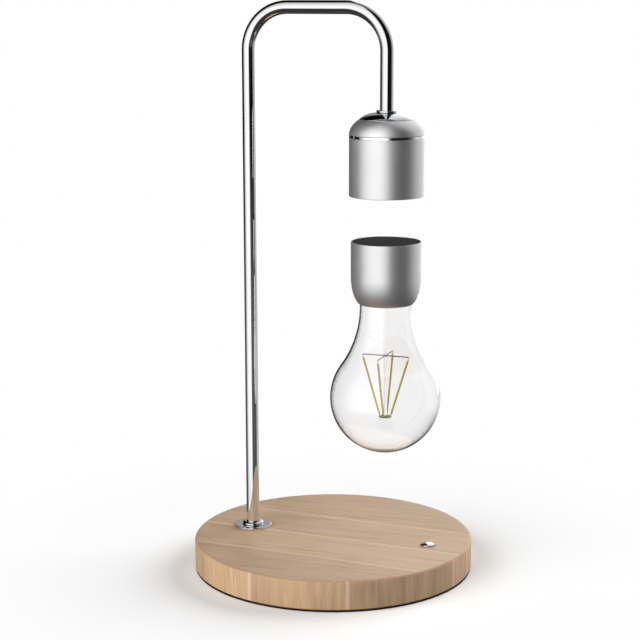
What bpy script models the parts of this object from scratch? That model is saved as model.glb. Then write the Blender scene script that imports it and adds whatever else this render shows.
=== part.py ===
"""A levitating table lamp. A chromed arch on a turned wooden base carries an electromagnet head,
and a bulb whose cup holds a magnet floats under it. The origin is the centre of the underside,
+Z is up, and the pillar, the lamp axis and the button lie on the X axis."""

import math

import bmesh
import bpy

for leftover in list(bpy.data.objects):
    bpy.data.objects.remove(leftover)

mm = 0.001

# Driving dimensions of the base
base_diameter = 170.0 * mm
wood_thickness = 17.4 * mm
edge_fillet = 1.6 * mm
pad_thickness = 0.8 * mm
deck_thickness = 5.0 * mm
pocket_width = 36.0 * mm
cover_thickness = 1.9 * mm
cover_margin = 6.0 * mm
pillar_inset = 31.6 * mm
button_inset = 24.2 * mm

# Driving dimensions of the arch
tube_diameter = 8.0 * mm
tube_wall = 1.5 * mm
lamp_offset = 33.3 * mm
pillar_rise = 319.8 * mm
bend_radius = 25.0 * mm
drop_length = 60.1 * mm

# Driving dimensions of the head
head_diameter = 44.0 * mm
sleeve_height = 33.85 * mm
head_wall = 1.2 * mm
ring_height = 1.5 * mm
dome_height = 13.0 * mm
cap_radius = 16.1 * mm
cap_rise = 3.8 * mm
hover_gap = 26.9 * mm

# Driving dimensions of the floating bulb
cup_diameter = 41.6 * mm
cup_straight = 20.8 * mm
cup_drop = 17.3 * mm
cup_inset = 7.0 * mm
cup_wall = 1.2 * mm
neck_radius = 15.4 * mm
globe_radius = 33.1 * mm
shoulder_radius = 62.0 * mm
glass_wall = 0.8 * mm
neck_below_lip = 2.1 * mm
neck_insert = 10.4 * mm

# Sizes that set how far the pocket reaches past the pillar and past the button
washer_radius = 7.7 * mm
washer_clearance = 0.4 * mm
jack_length = 8.2 * mm
jack_wall_gap = 1.3 * mm
switch_board_length = 16.0 * mm
switch_board_shift = 1.8 * mm
switch_margin = 4.0 * mm

# Clearances that every piece shares
seat = 0.3 * mm
overrun = 2.0 * mm
weld_distance = 0.001 * mm

# Facet counts
base_sides = 64
round_sides = 32
middle_sides = 24
small_sides = 12
tube_sides = 16
bend_steps = 6

# Levels and radii that follow from the driving dimensions
base_radius = base_diameter / 2
pillar_offset = base_radius - pillar_inset
button_offset = base_radius - button_inset
wood_bottom = pad_thickness + seat
base_top = wood_bottom + wood_thickness
ceiling_z = base_top - deck_thickness
cover_bottom = wood_bottom
cover_top = cover_bottom + cover_thickness
tube_radius = tube_diameter / 2
tube_bore = tube_radius - tube_wall
run_z = base_top + pillar_rise
reach = pillar_offset + lamp_offset
head_radius = head_diameter / 2
head_bore = head_radius - head_wall
apex_z = run_z - drop_length
cap_rim_z = apex_z - cap_rise
dome_base_z = cap_rim_z - dome_height * math.sqrt(1 - (cap_radius / head_radius) ** 2)
ring_top = dome_base_z - seat
ring_bottom = ring_top - ring_height
sleeve_top = ring_bottom - seat
head_bottom = sleeve_top - sleeve_height
cup_radius = cup_diameter / 2
cup_bore = cup_radius - cup_wall
cup_top = head_bottom - hover_gap
cup_shoulder_z = cup_top - cup_straight


# Shapes

def arc(centre_r, centre_z, half_r, half_z, start, end, steps):
    """Points (r, z) of an elliptical arc between two angles in degrees, both ends included."""
    angles = [math.radians(start + (end - start) * step / steps) for step in range(steps + 1)]
    return [(centre_r + half_r * math.cos(a), centre_z + half_z * math.sin(a)) for a in angles]


def cap_angle(rim_r, centre_r, half_r):
    """Angle in degrees at which an ellipse of that half width reaches the radius rim_r."""
    return math.degrees(math.acos((rim_r - centre_r) / half_r))


def finish(name, colour, roughness, metallic=0.0, transmission=0.0):
    """A Principled material with one colour, one roughness and one metallic value."""
    material = bpy.data.materials.new(name)
    material.use_nodes = True
    shader = material.node_tree.nodes["Principled BSDF"]
    shader.inputs["Base Color"].default_value = (*colour, 1.0)
    shader.inputs["Roughness"].default_value = roughness
    shader.inputs["Metallic"].default_value = metallic
    shader.inputs["Transmission Weight"].default_value = transmission
    return material


def axis_empty(name, offset):
    """An empty on a vertical axis that crosses the X axis at offset."""
    empty = bpy.data.objects.new(name, None)
    empty.location = (offset, 0.0, 0.0)
    bpy.context.scene.collection.objects.link(empty)
    return empty


def placed(name, bm, material, parent=None, at=(0.0, 0.0, 0.0)):
    """Turns a bmesh into an object with smooth shading, a material and a parent axis."""
    bmesh.ops.recalc_face_normals(bm, faces=bm.faces)
    mesh = bpy.data.meshes.new(name)
    bm.to_mesh(mesh)
    bm.free()
    mesh.shade_smooth()
    mesh.set_sharp_from_angle(angle=math.radians(30))
    mesh.materials.append(material)
    piece = bpy.data.objects.new(name, mesh)
    piece.parent = parent
    piece.location = at
    bpy.context.scene.collection.objects.link(piece)
    return piece


def turned(name, outline, material, parent=None, at=(0.0, 0.0, 0.0), sides=round_sides):
    """A body of revolution: the closed outline of (r, z) points spun about the vertical axis."""
    bm = bmesh.new()
    points = [bm.verts.new((r, 0.0, z)) for r, z in outline]
    edges = []
    for here, after in zip(points, points[1:] + points[:1]):
        if here.co.x > 0 or after.co.x > 0:
            edges.append(bm.edges.new((here, after)))
    bmesh.ops.spin(bm, geom=points + edges, cent=(0, 0, 0), axis=(0, 0, 1),
                   angle=math.tau, steps=sides, use_merge=True)
    bmesh.ops.remove_doubles(bm, verts=bm.verts, dist=weld_distance)
    return placed(name, bm, material, parent, at)


def ring(name, inner, outer, low, high, material, parent=None, at=(0.0, 0.0, 0.0),
         sides=round_sides):
    """A flat ring or, with an inner radius of zero, a disc between two levels."""
    outline = [(inner, low), (outer, low), (outer, high), (inner, high)]
    return turned(name, outline, material, parent, at, sides)


def plate(name, length, width, corner, low, high, material, parent=None, centre=(0.0, 0.0),
          steps=8):
    """A flat plate with rounded corners; a corner of half the width gives round ends."""
    bm = bmesh.new()
    outline = []
    for quarter, (side_x, side_y) in enumerate([(1, 1), (-1, 1), (-1, -1), (1, -1)]):
        x = side_x * (length / 2 - corner)
        y = side_y * (width / 2 - corner)
        outline += arc(x, y, corner, corner, 90 * quarter, 90 * quarter + 90, steps)
    face = bm.faces.new([bm.verts.new((x, y, low)) for x, y in outline])
    lifted = bmesh.ops.extrude_face_region(bm, geom=[face])["geom"]
    lifted = [part for part in lifted if isinstance(part, bmesh.types.BMVert)]
    bmesh.ops.translate(bm, verts=lifted, vec=(0, 0, high - low))
    bmesh.ops.remove_doubles(bm, verts=bm.verts, dist=weld_distance)
    return placed(name, bm, material, parent, (*centre, 0.0))


def section(bm, radii, level, sides):
    """The flat end of a tube: a ring of quads between two walls, or one face for a solid rod."""
    turns = [math.tau * step / sides for step in range(sides)]
    loops = [[bm.verts.new((radius * math.cos(turn), radius * math.sin(turn), level))
              for turn in turns] for radius in radii]
    if len(loops) == 1:
        return [bm.faces.new(loops[0])]
    outer, inner = loops
    return [bm.faces.new((outer[i - 1], outer[i], inner[i], inner[i - 1])) for i in range(sides)]


def opened(bm, end):
    """Removes the faces of an old end that now lie inside the tube."""
    inside = [face for face in end if any(len(edge.link_faces) > 2 for edge in face.edges)]
    bmesh.ops.delete(bm, geom=inside, context="FACES")


def drawn(bm, end, step):
    """Draws the end of a tube out along a straight stretch and returns its new end."""
    new = bmesh.ops.extrude_face_region(bm, geom=end)["geom"]
    points = [part for part in new if isinstance(part, bmesh.types.BMVert)]
    bmesh.ops.translate(bm, verts=points, vec=step)
    opened(bm, end)
    return [part for part in new if isinstance(part, bmesh.types.BMFace)]


def bent(bm, end, centre):
    """Bends the end of a tube round a quarter turn towards +X and returns its new end."""
    last = bmesh.ops.spin(bm, geom=end, cent=centre, axis=(0, 1, 0), angle=math.pi / 2,
                          steps=bend_steps)["geom_last"]
    opened(bm, end)
    return [part for part in last if isinstance(part, bmesh.types.BMFace)]


def arch(name, radii, foot_z, tip_z, material, sides):
    """A tube of one or two concentric walls: up the pillar, along the run and down the drop."""
    bm = bmesh.new()
    bend_z = run_z - bend_radius
    end = section(bm, radii, foot_z, sides)
    end = drawn(bm, end, (0, 0, bend_z - foot_z))
    end = bent(bm, end, (bend_radius, 0, bend_z))
    end = drawn(bm, end, (reach - 2 * bend_radius, 0, 0))
    end = bent(bm, end, (reach - bend_radius, 0, bend_z))
    drawn(bm, end, (0, 0, tip_z - bend_z))
    return placed(name, bm, material, at=(-pillar_offset, 0.0, 0.0))


def combine(target, tool, operation):
    """Joins a hidden tool to a piece, or cuts the piece with it."""
    tool.hide_render = True
    tool.display_type = "WIRE"
    modifier = target.modifiers.new(tool.name, "BOOLEAN")
    modifier.operation = operation
    modifier.object = tool


def box(name, length, width, low, high, material, parent=None, centre=(0.0, 0.0)):
    """A plain block between two levels, its length along X and its width along Y."""
    bm = bmesh.new()
    bmesh.ops.create_cube(bm, size=1.0)
    bmesh.ops.scale(bm, verts=bm.verts, vec=(length, width, high - low))
    return placed(name, bm, material, parent, (*centre, (low + high) / 2))


def lengthwise(piece, low_x, level):
    """Lays a turned piece along X, with its foot at low_x and its axis at that level."""
    piece.rotation_euler = (0, math.pi / 2, 0)
    piece.location = (low_x, 0, level)


# Materials, with the colours seen in the photograph
pale_oak = finish("pale_oak", (0.52, 0.36, 0.23), 0.5)
black_rubber = finish("black_rubber", (0.02, 0.02, 0.02), 0.9)
black_plastic = finish("black_plastic", (0.03, 0.03, 0.03), 0.5)
satin_black = finish("satin_black", (0.04, 0.04, 0.04), 0.6)
chrome_plate = finish("chrome_plate", (0.85, 0.85, 0.86), 0.05, 1.0)
satin_aluminium = finish("satin_aluminium", (0.68, 0.68, 0.69), 0.35, 1.0)
zinc_steel = finish("zinc_steel", (0.55, 0.55, 0.56), 0.35, 1.0)
soft_iron = finish("soft_iron", (0.35, 0.35, 0.36), 0.4, 1.0)
enamelled_copper = finish("enamelled_copper", (0.60, 0.25, 0.12), 0.3, 1.0)
circuit_board = finish("circuit_board", (0.02, 0.16, 0.07), 0.4)
white_nylon = finish("white_nylon", (0.75, 0.75, 0.72), 0.5)
grey_jacket = finish("grey_jacket", (0.20, 0.20, 0.20), 0.6)
clear_glass = finish("clear_glass", (1.0, 1.0, 1.0), 0.02, 0.0, 1.0)
filament_phosphor = finish("filament_phosphor", (0.55, 0.42, 0.10), 0.6)

# Axes that pieces stand on or move along
pillar_axis = axis_empty("pillar_axis", -pillar_offset)
lamp_axis = axis_empty("lamp_axis", lamp_offset)
bulb_axis = axis_empty("bulb_axis", lamp_offset)
button_axis = axis_empty("button_axis", button_offset)


# Wooden base: a turned disc with a milled pocket under it and a rebate for its cover
foot_chamfer = 0.6 * mm
wood_outline = [(0.0, wood_bottom), (base_radius - foot_chamfer, wood_bottom),
                (base_radius, wood_bottom + foot_chamfer)]
wood_outline += arc(base_radius - edge_fillet, base_top - edge_fillet,
                    edge_fillet, edge_fillet, 0, 90, 3)
wood_outline += [(0.0, base_top)]
wooden_base = turned("wooden_base", wood_outline, pale_oak, sides=base_sides)

jack_space = jack_length + jack_wall_gap
pocket_from = -pillar_offset - washer_radius - washer_clearance - jack_space
pocket_to = button_offset - switch_board_shift + switch_board_length / 2 + switch_margin
pocket_length = pocket_to - pocket_from
pocket_centre = ((pocket_from + pocket_to) / 2, 0.0)
pocket = plate("pocket_tool", pocket_length, pocket_width, pocket_width / 2,
               wood_bottom - overrun, ceiling_z, pale_oak, centre=pocket_centre)
rebate_length = pocket_length + 2 * cover_margin
rebate_width = pocket_width + 2 * cover_margin
rebate = plate("rebate_tool", rebate_length, rebate_width, rebate_width / 2,
               wood_bottom - overrun, cover_top + seat, pale_oak, centre=pocket_centre)
pillar_hole = ring("pillar_hole_tool", 0.0, tube_radius + seat, ceiling_z - overrun,
                   base_top + overrun, pale_oak, pillar_axis, sides=tube_sides)
for tool in (pocket, rebate, pillar_hole):
    combine(wooden_base, tool, "DIFFERENCE")

# Rubber pad glued under the base, the dark line of the photograph
pad_inset = 0.3 * mm
antislip_pad = ring("antislip_pad", 0.0, base_radius - pad_inset, 0.0, pad_thickness,
                    black_rubber, sides=base_sides)

# Cover of the pocket, held by four countersunk screws in the wooden margin
base_cover = plate("base_cover", rebate_length - 2 * seat, rebate_width - 2 * seat,
                   rebate_width / 2 - seat, cover_bottom, cover_top, black_plastic,
                   centre=pocket_centre)
screw_inset = 3.0 * mm
screw_head_radius = 2.6 * mm
screw_head_height = 1.5 * mm
screw_radius = 1.25 * mm
screw_length = 9.0 * mm
screw_recess = 0.1 * mm
screw_y = (pocket_width + cover_margin) / 2
screw_reach = (pocket_length - pocket_width) / 2 - screw_inset
screw_bottom = cover_bottom + screw_recess
screw_tip = screw_bottom + screw_length
screw_neck = screw_bottom + screw_head_height
screw_outline = [(0.0, screw_bottom), (screw_head_radius, screw_bottom), (screw_radius, screw_neck),
                 (screw_radius, screw_tip - screw_radius), (0.0, screw_tip)]
hole_outline = [(0.0, cover_bottom - overrun), (screw_head_radius + seat, cover_bottom - overrun),
                (screw_head_radius + seat, screw_bottom), (screw_radius + seat, screw_neck),
                (screw_radius + seat, screw_tip + seat), (0.0, screw_tip + seat)]
screw_corners = [(1, 1), (-1, 1), (-1, -1), (1, -1)]
for number, (side_x, side_y) in enumerate(screw_corners, start=1):
    corner = (pocket_centre[0] + side_x * screw_reach, side_y * screw_y, 0.0)
    turned(f"cover_screw_{number}", screw_outline, zinc_steel, at=corner, sides=small_sides)
    hole = turned(f"screw_hole_tool_{number}", hole_outline, zinc_steel, at=corner,
                  sides=small_sides)
    combine(base_cover, hole, "DIFFERENCE")
    combine(wooden_base, hole, "DIFFERENCE")


# Circuit board of the base, with the power socket behind the pillar
board_thickness = 1.6 * mm
board_width = 26.0 * mm
board_corner = 10.0 * mm
board_end_gap = 2.5 * mm
board_past_pillar = 18.9 * mm
board_from = pocket_from + board_end_gap
board_to = board_past_pillar - pillar_offset
board_bottom = cover_top + seat
board_top = board_bottom + board_thickness
base_board = plate("base_board", board_to - board_from, board_width, board_corner, board_bottom,
                   board_top, circuit_board, centre=((board_from + board_to) / 2, 0.0), steps=4)

jack_width = 9.0 * mm
jack_height = 7.0 * mm
nose_length = 6.0 * mm
nose_radius = 4.2 * mm
nose_root = 1.0 * mm
plug_bore = 2.8 * mm
plug_depth = 11.0 * mm
pin_radius = 1.0 * mm
plug_hole_radius = 5.0 * mm
jack_low = board_top + seat
jack_axis_z = jack_low + jack_height / 2
jack_front = pocket_from + jack_wall_gap
nose_mouth = jack_front - nose_length
dc_jack = box("dc_jack", jack_length, jack_width, jack_low, jack_low + jack_height, black_plastic,
              centre=(jack_front + jack_length / 2, 0.0))
nose = ring("nose_tool", 0.0, nose_radius, 0.0, nose_length + nose_root, black_plastic,
            sides=small_sides)
bore = ring("plug_bore_tool", pin_radius, plug_bore, -overrun, plug_depth, black_plastic,
            sides=small_sides)
lengthwise(nose, nose_mouth, jack_axis_z)
lengthwise(bore, nose_mouth, jack_axis_z)
combine(dc_jack, nose, "UNION")
combine(dc_jack, bore, "DIFFERENCE")
plug_hole = ring("plug_hole_tool", 0.0, plug_hole_radius, -base_radius - overrun,
                 pocket_from + overrun, pale_oak, sides=small_sides)
lengthwise(plug_hole, 0.0, jack_axis_z)
combine(wooden_base, plug_hole, "DIFFERENCE")


# Pillar: a chromed tube through the deck, with flange and ferrule above and a nut below
flange_radius = 11.6 * mm
flange_height = 1.0 * mm
flange_chamfer = 0.3 * mm
ferrule_radius = 6.55 * mm
ferrule_height = 1.5 * mm
washer_height = 1.0 * mm
nut_radius = 7.5 * mm
nut_height = 3.0 * mm
thread_past_nut = 0.9 * mm
nut_sides = 6
clear_bore = tube_radius + seat

flange_low = base_top + seat
flange_high = flange_low + flange_height
pillar_flange = turned("pillar_flange", [
    (clear_bore, flange_low), (flange_radius, flange_low),
    (flange_radius, flange_high - flange_chamfer), (flange_radius - flange_chamfer, flange_high),
    (clear_bore, flange_high)], chrome_plate, pillar_axis)

ferrule_low = flange_high + seat
bead_r = (ferrule_radius - clear_bore) / 2
ferrule_outline = [(clear_bore, ferrule_low), (ferrule_radius, ferrule_low)]
ferrule_outline += arc(clear_bore + bead_r, ferrule_low + ferrule_height / 2,
                       bead_r, ferrule_height / 2, 0, 180, 4)
pillar_ferrule = turned("pillar_ferrule", ferrule_outline, chrome_plate, pillar_axis)

washer_high = ceiling_z - seat
washer_low = washer_high - washer_height
pillar_washer = ring("pillar_washer", clear_bore, washer_radius, washer_low, washer_high,
                     zinc_steel, pillar_axis, sides=tube_sides)
nut_high = washer_low - seat
nut_low = nut_high - nut_height
pillar_nut = ring("pillar_nut", 0.0, nut_radius, nut_low, nut_high, zinc_steel, pillar_axis,
                  sides=nut_sides)
nut_hole = ring("nut_hole_tool", 0.0, clear_bore, nut_low - overrun, nut_high + overrun,
                zinc_steel, pillar_axis, sides=tube_sides)
combine(pillar_nut, nut_hole, "DIFFERENCE")

head_nut_height = 3.0 * mm
cap_wall = 1.0 * mm
cap_sphere = ((cap_radius - seat) ** 2 + cap_rise ** 2) / (2 * cap_rise)
cap_sphere_z = apex_z - cap_sphere
cap_under_z = cap_sphere_z + math.sqrt((cap_sphere - cap_wall) ** 2 - nut_radius ** 2)
head_nut_high = cap_under_z - seat
head_nut_low = head_nut_high - head_nut_height
pillar_tube = arch("pillar_tube", (tube_radius, tube_bore), nut_low - thread_past_nut,
                   head_nut_low - thread_past_nut, chrome_plate, tube_sides)

# Socket under the foot of the tube, and the lead that runs inside the tube to the head
socket_length = 8.0 * mm
socket_width = 6.0 * mm
socket_height = 2.3 * mm
lead_radius = 1.7 * mm
lead_sides = 8
socket_low = board_top + seat
socket_high = socket_low + socket_height
lead_socket = box("lead_socket", socket_length, socket_width, socket_low, socket_high,
                  white_nylon, pillar_axis)


# Head: satin sleeve, polished trim ring and satin dome round the electromagnet
rim_chamfer = 0.3 * mm
plate_recess = 0.8 * mm
bottom_plate_height = 2.0 * mm
ledge_width = 0.9 * mm
ledge_height = 1.0 * mm
plate_low = head_bottom + plate_recess
plate_high = plate_low + bottom_plate_height
ledge_low = plate_high + seat
head_sleeve = turned("head_sleeve", [
    (head_radius - rim_chamfer, head_bottom), (head_radius, head_bottom + rim_chamfer),
    (head_radius, sleeve_top), (head_bore, sleeve_top), (head_bore, ledge_low + ledge_height),
    (head_bore - ledge_width, ledge_low + ledge_height), (head_bore - ledge_width, ledge_low),
    (head_bore, ledge_low), (head_bore, head_bottom)], satin_aluminium, lamp_axis)
head_bottom_plate = ring("head_bottom_plate", 0.0, head_bore - seat, plate_low, plate_high,
                         satin_black, lamp_axis)

spigot_wall = 1.3 * mm
spigot_down = 2.0 * mm
spigot_up = 1.1 * mm
spigot_outer = head_bore - seat
spigot_top_outer = spigot_outer - rim_chamfer
spigot_inner = spigot_outer - spigot_wall
head_trim_ring = turned("head_trim_ring", [
    (head_radius, ring_bottom), (head_radius, ring_top), (spigot_top_outer, ring_top),
    (spigot_top_outer, ring_top + spigot_up), (spigot_inner, ring_top + spigot_up),
    (spigot_inner, ring_bottom - spigot_down), (spigot_outer, ring_bottom - spigot_down),
    (spigot_outer, ring_bottom)], chrome_plate, lamp_axis)

dome_seat_width = 2.6 * mm
dome_seat_height = 1.0 * mm
dome_seat_z = cap_rim_z - cap_wall - seat
dome_under_z = dome_seat_z - dome_seat_height
dome_inner_height = dome_height - head_wall
inner_end = math.degrees(math.asin((dome_under_z - dome_base_z) / dome_inner_height))
dome_outline = arc(0.0, dome_base_z, head_radius, dome_height, 0,
                   cap_angle(cap_radius, 0.0, head_radius), 7)
dome_outline += [(cap_radius, dome_seat_z), (cap_radius - dome_seat_width, dome_seat_z),
                 (cap_radius - dome_seat_width, dome_under_z)]
dome_outline += arc(0.0, dome_base_z, head_bore, dome_inner_height, inner_end, 0, 4)
head_dome = turned("head_dome", dome_outline, satin_aluminium, lamp_axis)


def cap_arc(wall, near, far, steps):
    """Points of the cap's outer sphere, or of the sphere a wall under it, between two radii."""
    radius = cap_sphere - wall
    return arc(0.0, cap_sphere_z, radius, radius, math.degrees(math.acos(near / radius)),
               math.degrees(math.acos(far / radius)), steps)


cap_edge = cap_radius - seat
head_top_cap = turned("head_top_cap", cap_arc(0.0, clear_bore, cap_edge, 4) +
                      cap_arc(cap_wall, cap_edge - cap_wall / 2, clear_bore, 3),
                      chrome_plate, lamp_axis)

collar_radius = 5.9 * mm
collar_height = 1.45 * mm
collar_chamfer = 0.5 * mm
collar_low = cap_sphere_z + math.sqrt(cap_sphere ** 2 - clear_bore ** 2) + seat
collar_high = collar_low + collar_height
head_collar = turned("head_collar", [
    (clear_bore, collar_low), (collar_radius - collar_chamfer, collar_low),
    (collar_radius, collar_low + collar_chamfer), (collar_radius, collar_high),
    (clear_bore, collar_high)], chrome_plate, lamp_axis)
head_nut = ring("head_nut", 0.0, nut_radius, head_nut_low, head_nut_high, zinc_steel, lamp_axis,
                sides=nut_sides)
head_nut_hole = ring("head_nut_hole_tool", 0.0, clear_bore, head_nut_low - overrun,
                     head_nut_high + overrun, zinc_steel, lamp_axis, sides=tube_sides)
combine(head_nut, head_nut_hole, "DIFFERENCE")

# Electromagnet stack on the bottom plate: coil that powers the bulb, field sensor, core, spool
coil_inner = 9.0 * mm
coil_outer = 19.0 * mm
coil_height = 1.5 * mm
sensor_radius = 8.4 * mm
sensor_height = 1.2 * mm
spool_radius = 16.0 * mm
spool_height = 20.0 * mm
spool_flange = 1.0 * mm
spool_wall = 0.8 * mm
core_radius = 5.0 * mm
core_foot_radius = 7.5 * mm
core_foot_height = 1.2 * mm
winding_inset = 0.7 * mm
ledge_clear = head_bore - ledge_width - seat
coil_low = plate_high + seat
transmit_coil = ring("transmit_coil", coil_inner, min(coil_outer, ledge_clear), coil_low,
                     coil_low + coil_height, enamelled_copper, lamp_axis, sides=small_sides)
sensor_board = ring("sensor_board", 0.0, sensor_radius, coil_low, coil_low + sensor_height,
                    circuit_board, lamp_axis, sides=small_sides)
core_low = coil_low + sensor_height + seat
spool_low = max(core_low + core_foot_height, coil_low + coil_height) + seat
spool_high = spool_low + spool_height
spool_hub = core_radius + seat + spool_wall
electromagnet_core = turned("electromagnet_core", [
    (0.0, core_low), (core_foot_radius, core_low), (core_foot_radius, core_low + core_foot_height),
    (core_radius, core_low + core_foot_height), (core_radius, spool_high), (0.0, spool_high)],
    soft_iron, lamp_axis, sides=small_sides)
electromagnet_bobbin = turned("electromagnet_bobbin", [
    (core_radius + seat, spool_low), (spool_radius, spool_low),
    (spool_radius, spool_low + spool_flange), (spool_hub, spool_low + spool_flange),
    (spool_hub, spool_high - spool_flange), (spool_radius, spool_high - spool_flange),
    (spool_radius, spool_high), (core_radius + seat, spool_high)],
    white_nylon, lamp_axis, sides=small_sides)
electromagnet_winding = ring(
    "electromagnet_winding", spool_hub + seat, spool_radius - winding_inset,
    spool_low + spool_flange + seat, spool_high - spool_flange - seat, enamelled_copper,
    lamp_axis, sides=small_sides)
head_board_low = spool_high + seat
head_board_high = head_board_low + board_thickness
head_board = ring("head_board", 0.0, spigot_inner - seat, head_board_low, head_board_high,
                  circuit_board, lamp_axis, sides=small_sides)
head_socket_low = head_board_high + seat
head_socket_high = head_socket_low + socket_height
head_socket = box("head_socket", socket_length, socket_width, head_socket_low, head_socket_high,
                  white_nylon, lamp_axis)
internal_lead = arch("internal_lead", (lead_radius,), socket_high + seat, head_socket_high + seat,
                     grey_jacket, lead_sides)


# Floating bulb, cup: spun aluminium shell, closed by a black plate let into its thin rim
lip_edge = 0.4 * mm
lid_recess = 0.3 * mm
lid_height = 2.0 * mm
rim_wall = 0.5 * mm
coil_margin = 1.0 * mm
lip_bore = neck_radius + seat
lip_radius = lip_bore + lip_edge
lip_angle = cap_angle(lip_radius, cup_radius - cup_inset, cup_inset)
lip_z = cup_shoulder_z - cup_drop * math.sin(math.radians(lip_angle))
lid_high = cup_top - lid_recess
lid_low = lid_high - lid_height
rim_bore = cup_radius - rim_wall
rim_step = lid_low - seat
cup_outline = [(cup_radius, cup_top)]
cup_outline += arc(cup_radius - cup_inset, cup_shoulder_z, cup_inset, cup_drop, 0, -lip_angle, 8)
inner_inset = cup_bore - (cup_radius - cup_inset)
inner_drop = cup_drop - cup_wall
inner_angle = cap_angle(lip_bore, cup_radius - cup_inset, inner_inset)
cup_outline += [(lip_bore, lip_z)]
cup_outline += arc(cup_radius - cup_inset, cup_shoulder_z, inner_inset, inner_drop,
                   -inner_angle, 0, 4)
cup_outline += [(cup_bore, rim_step), (rim_bore, rim_step), (rim_bore, cup_top)]
cup_shell = turned("cup_shell", cup_outline, satin_aluminium, bulb_axis)
cup_lid = ring("cup_lid", 0.0, rim_bore - seat, lid_low, lid_high, satin_black, bulb_axis)

receive_outer = cup_bore - coil_margin
magnet_radius = 14.0 * mm
magnet_height = 6.0 * mm
receive_low = lid_low - seat - coil_height
receive_coil = ring("receive_coil", coil_inner, receive_outer, receive_low, lid_low - seat,
                    enamelled_copper, bulb_axis, sides=small_sides)
magnet_high = receive_low - seat
magnet_low = magnet_high - magnet_height
levitation_magnet = ring("levitation_magnet", 0.0, magnet_radius, magnet_low, magnet_high,
                         zinc_steel, bulb_axis, sides=small_sides)
driver_radius = 18.0 * mm
driver_high = magnet_low - seat
driver_low = driver_high - board_thickness
driver_board = ring("driver_board", 0.0, driver_radius, driver_low, driver_high, circuit_board,
                    bulb_axis, sides=small_sides)

# Neck holder: moulded ring that grips the glass neck and carries the driver board
holder_web_inner = 8.0 * mm
holder_web_height = 2.0 * mm
holder_skirt_wall = 1.3 * mm
holder_skirt_depth = 5.5 * mm
holder_rim_wall = 1.3 * mm
neck_top = lip_z + neck_insert
flare_height = 1.0 * mm
skirt_low = neck_top - holder_skirt_depth
web_low = neck_top + flare_height + 2 * seat
web_high = cup_shoulder_z + holder_web_height
holder_outer = cup_bore - seat
holder_high = driver_low - seat
neck_holder = turned("neck_holder", [
    (holder_web_inner, web_low), (lip_bore, web_low), (lip_bore, skirt_low),
    (lip_bore + holder_skirt_wall, skirt_low), (lip_bore + holder_skirt_wall, cup_shoulder_z),
    (holder_outer, cup_shoulder_z), (holder_outer, holder_high),
    (holder_outer - holder_rim_wall, holder_high), (holder_outer - holder_rim_wall, web_high),
    (holder_web_inner, web_high)], white_nylon, bulb_axis, sides=middle_sides)

# Glass globe: blown ball, concave shoulder and open neck, the same wall all over
shoulder_z = lip_z - neck_below_lip
blend_rise = math.sqrt((globe_radius + shoulder_radius) ** 2 - (neck_radius + shoulder_radius) ** 2)
globe_z = shoulder_z - blend_rise
blend_angle = math.degrees(math.atan2(blend_rise, neck_radius + shoulder_radius))


def glass_side(wall, ball_steps, shoulder_steps):
    """Outline of the globe a wall inside its outer skin, from the bottom pole to the neck."""
    ball = globe_radius - wall
    hollow = shoulder_radius + wall
    points = arc(0.0, globe_z, ball, ball, -90, blend_angle, ball_steps)
    points += arc(neck_radius + shoulder_radius, shoulder_z, hollow, hollow,
                  180 + blend_angle, 180, shoulder_steps)[1:]
    pole = (0.0, globe_z - ball)
    return [pole] + points[1:] + [(neck_radius - wall, neck_top)]


glass_globe = turned("glass_globe", glass_side(0.0, 10, 5) + glass_side(glass_wall, 8, 3)[::-1],
                     clear_glass, bulb_axis)

# Glass stem: a thin rod that flares out to close the neck
stem_radius = 1.15 * mm
flare_depth = 16.0 * mm
filament_top_rise = 24.5 * mm
filament_bottom_drop = 11.3 * mm
filament_top_r = 14.35 * mm
filament_bottom_r = 3.4 * mm
hub_radius = 4.2 * mm
hub_height = 1.0 * mm
flare_edge = neck_radius - seat
flare_low = neck_top + seat
flare_centre_z = flare_low - flare_depth
filament_top_z = globe_z + filament_top_rise
filament_bottom_z = globe_z - filament_bottom_drop
hub_high = filament_bottom_z - seat
stem_low = hub_high + seat
flare_depth_above = flare_depth + flare_height
stem_outline = [(0.0, stem_low), (stem_radius, stem_low)]
stem_outline += arc(flare_edge, flare_centre_z, flare_edge - stem_radius, flare_depth, 180, 90, 6)
stem_outline += arc(flare_edge, flare_centre_z, flare_edge, flare_depth_above, 90, 180, 6)[:-1]
stem_outline += [(0.0, flare_centre_z)]
glass_stem = turned("glass_stem", stem_outline, clear_glass, bulb_axis, sides=small_sides)

# Filament spider: a cross of wire whose collar grips the stem above the four filaments
wire_radius = 0.35 * mm
collar_wall = 0.6 * mm
spider_z = filament_top_z + seat + 2 * wire_radius
spider_bore = stem_radius + seat
arm_reach = filament_top_r + wire_radius
filament_spider = ring("filament_spider", 0.0, spider_bore + collar_wall,
                       spider_z - collar_wall, spider_z + collar_wall, soft_iron, bulb_axis,
                       sides=small_sides)
for name, turn in (("spider_arm_x_tool", 0), ("spider_arm_y_tool", math.pi / 2)):
    arm = ring(name, 0.0, wire_radius, -arm_reach, arm_reach, soft_iron, bulb_axis, sides=8)
    arm.rotation_euler = (0, math.pi / 2, turn)
    arm.location = (0, 0, spider_z)
    combine(filament_spider, arm, "UNION")
spider_hole = ring("spider_hole_tool", 0.0, spider_bore, spider_z - overrun, spider_z + overrun,
                   soft_iron, bulb_axis, sides=small_sides)
combine(filament_spider, spider_hole, "DIFFERENCE")

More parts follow.
